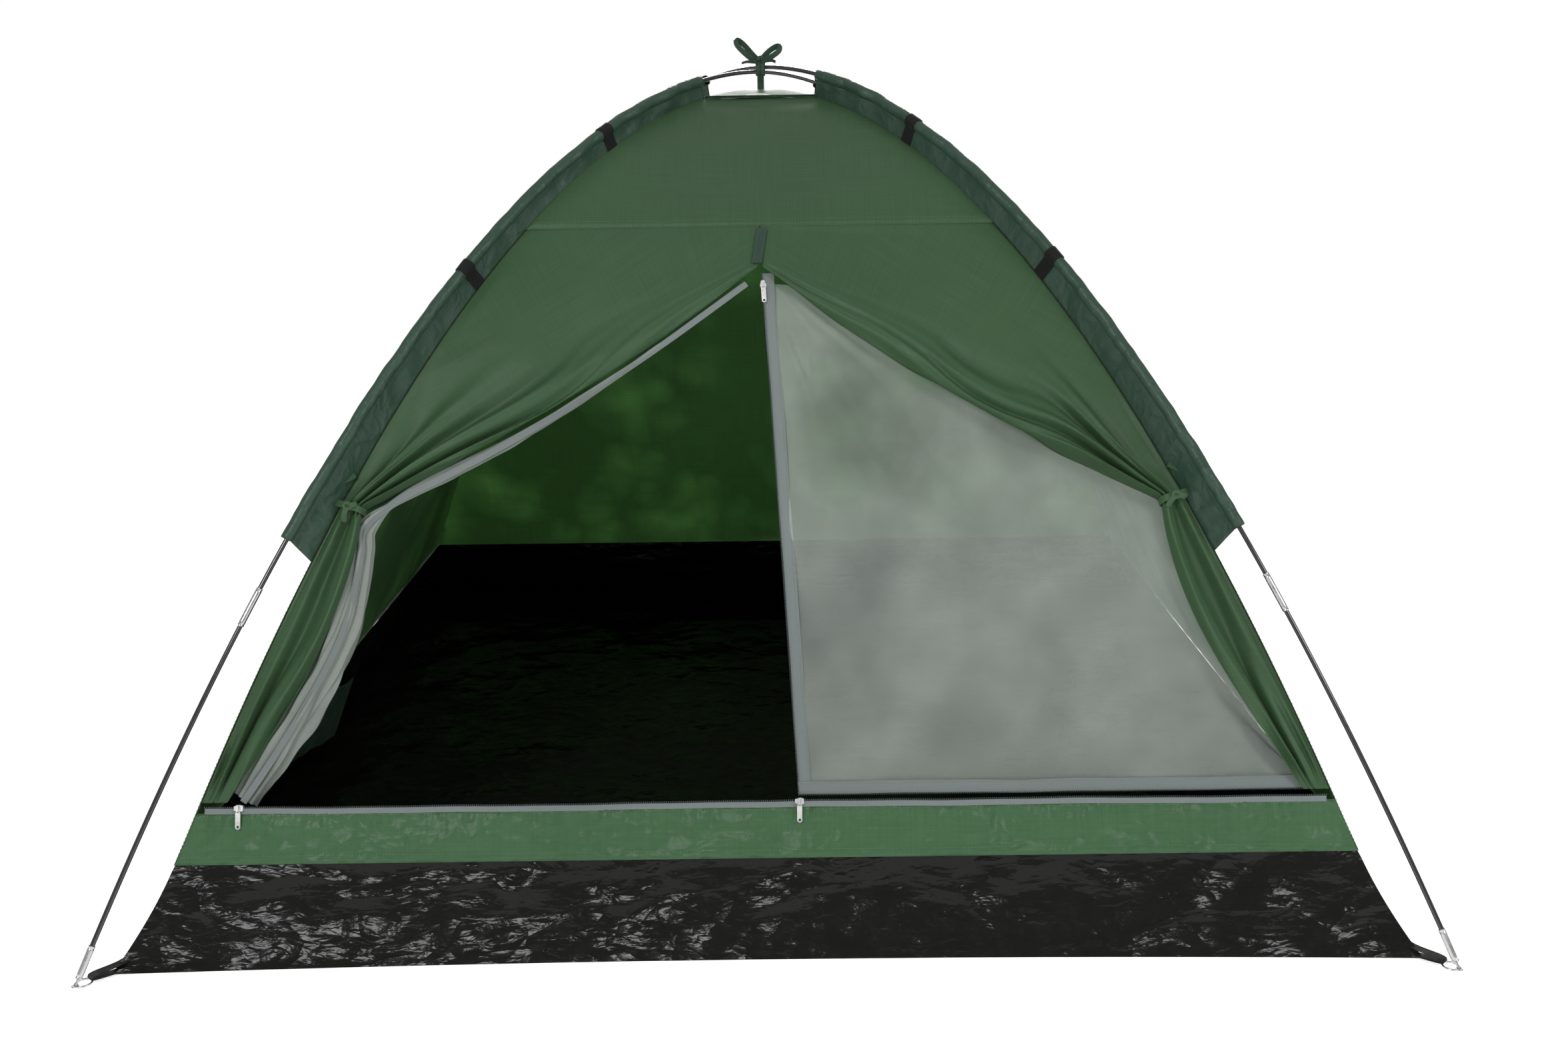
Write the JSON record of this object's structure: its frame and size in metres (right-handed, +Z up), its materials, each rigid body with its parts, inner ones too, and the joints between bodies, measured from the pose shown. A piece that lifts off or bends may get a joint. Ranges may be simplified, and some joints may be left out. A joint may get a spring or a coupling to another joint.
{
  "type": "dome tent",
  "caption": "Two-pole square dome tent on crossed shock-corded poles, with a tub floor, sleeves, tied-back door curtains, a net door leaf and zip sliders.",
  "frame": {"origin": "centre of the floor's underside, on the ground, midway between the four pole feet", "axes": "+Z up; the door faces -Y, and +X is to the right of someone looking in through the door"},
  "size_m": [2.109, 2.109, 1.4197],
  "materials": {
    "canopy_cloth": "plain-weave coated polyester, satin",
    "sleeve_cloth": "plain-weave coated polyester, dark blue-green",
    "sill_cloth": "plain-weave coated polyester, lighter green",
    "floor_cloth": "woven polyethylene tarpaulin, crinkled and glossy",
    "net": "fine knitted insect net, see-through",
    "webbing": "woven strap, matt black",
    "fibreglass": "glossy black fibreglass rod",
    "steel": "bright plated steel",
    "slider_metal": "white lacquered die-casting"
  },
  "bodies": {
    "tent": {"pole_a_rod_1": "fibreglass", "pole_a_rod_2": "fibreglass", "pole_a_rod_3": "fibreglass", "pole_a_rod_4": "fibreglass", "pole_a_rod_5": "fibreglass", "pole_a_rod_6": "fibreglass", "pole_a_rod_7": "fibreglass", "pole_a_ferrule_1": "steel", "pole_a_ferrule_2": "steel", "pole_a_ferrule_3": "steel", "pole_a_ferrule_4": "steel", "pole_a_ferrule_5": "steel", "pole_a_ferrule_6": "steel", "pole_a_tip_1": "steel", "pole_a_tip_2": "steel", "pole_b_rod_1": "fibreglass", "pole_b_rod_2": "fibreglass", "pole_b_rod_3": "fibreglass", "pole_b_rod_4": "fibreglass", "pole_b_rod_5": "fibreglass", "pole_b_rod_6": "fibreglass", "pole_b_rod_7": "fibreglass", "pole_b_ferrule_1": "steel", "pole_b_ferrule_2": "steel", "pole_b_ferrule_3": "steel", "pole_b_ferrule_4": "steel", "pole_b_ferrule_5": "steel", "pole_b_ferrule_6": "steel", "pole_b_tip_1": "steel", "pole_b_tip_2": "steel", "corner_pin_front_left": "steel", "corner_strap_front_left": "webbing", "sleeve_front_left": "sleeve_cloth", "corner_pin_front_right": "steel", "corner_strap_front_right": "webbing", "sleeve_front_right": "sleeve_cloth", "corner_pin_back_left": "steel", "corner_strap_back_left": "webbing", "sleeve_back_left": "sleeve_cloth", "corner_pin_back_right": "steel", "corner_strap_back_right": "webbing", "sleeve_back_right": "sleeve_cloth", "groundsheet": "floor_cloth", "wall_left": "canopy_cloth", "wall_right": "canopy_cloth", "wall_back": "canopy_cloth", "front_gable": "canopy_cloth", "sill_panel": "sill_cloth", "door_curtain_left": "canopy_cloth", "door_curtain_right": "canopy_cloth", "roof_vent_net": "net", "crown_tie": "sleeve_cloth", "net_roll_left": "net"},
    "net_leaf": {"net_door": "net"},
    "sill_left_runner": {"sill_left_slider": "slider_metal"},
    "sill_left_tab": {"sill_left_pull": "slider_metal"},
    "sill_right_runner": {"sill_right_slider": "slider_metal"},
    "sill_right_tab": {"sill_right_pull": "slider_metal"},
    "door_runner": {"door_slider": "slider_metal"},
    "door_tab": {"door_pull": "slider_metal"}
  },
  "joints": [
    {"name": "net_leaf_swing", "type": "hinge", "parent": "tent", "child": "net_leaf", "pos_m": [0.004, -0.45893, 1.00666], "axis": [0.6986, -0.3409, -0.6291], "range_deg": [0, 95]},
    {"name": "sill_left_slide", "type": "slide", "parent": "tent", "child": "sill_left_runner", "axis": [1, 0, 0], "range_m": [0, 0.8]},
    {"name": "sill_left_pull_hinge", "type": "hinge", "parent": "sill_left_runner", "child": "sill_left_tab", "pos_m": [-0.83, -0.90416, 0.22515], "axis": [-1, 0, 0], "range_deg": [0, 150]},
    {"name": "sill_right_slide", "type": "slide", "parent": "tent", "child": "sill_right_runner", "axis": [1, 0, 0], "range_m": [0, 0.8]},
    {"name": "sill_right_pull_hinge", "type": "hinge", "parent": "sill_right_runner", "child": "sill_right_tab", "pos_m": [0.055, -0.90416, 0.22515], "axis": [-1, 0, 0], "range_deg": [0, 150]},
    {"name": "door_zip_slide", "type": "slide", "parent": "net_leaf", "child": "door_runner", "axis": [0.0574, -0.4757, -0.8778], "range_m": [0, 0.81]},
    {"name": "door_pull_hinge", "type": "hinge", "parent": "door_runner", "child": "door_tab", "pos_m": [0.00526, -0.47726, 0.99162], "axis": [-0.9984, -0.0273, -0.0504], "range_deg": [0, 150]}
  ]
}
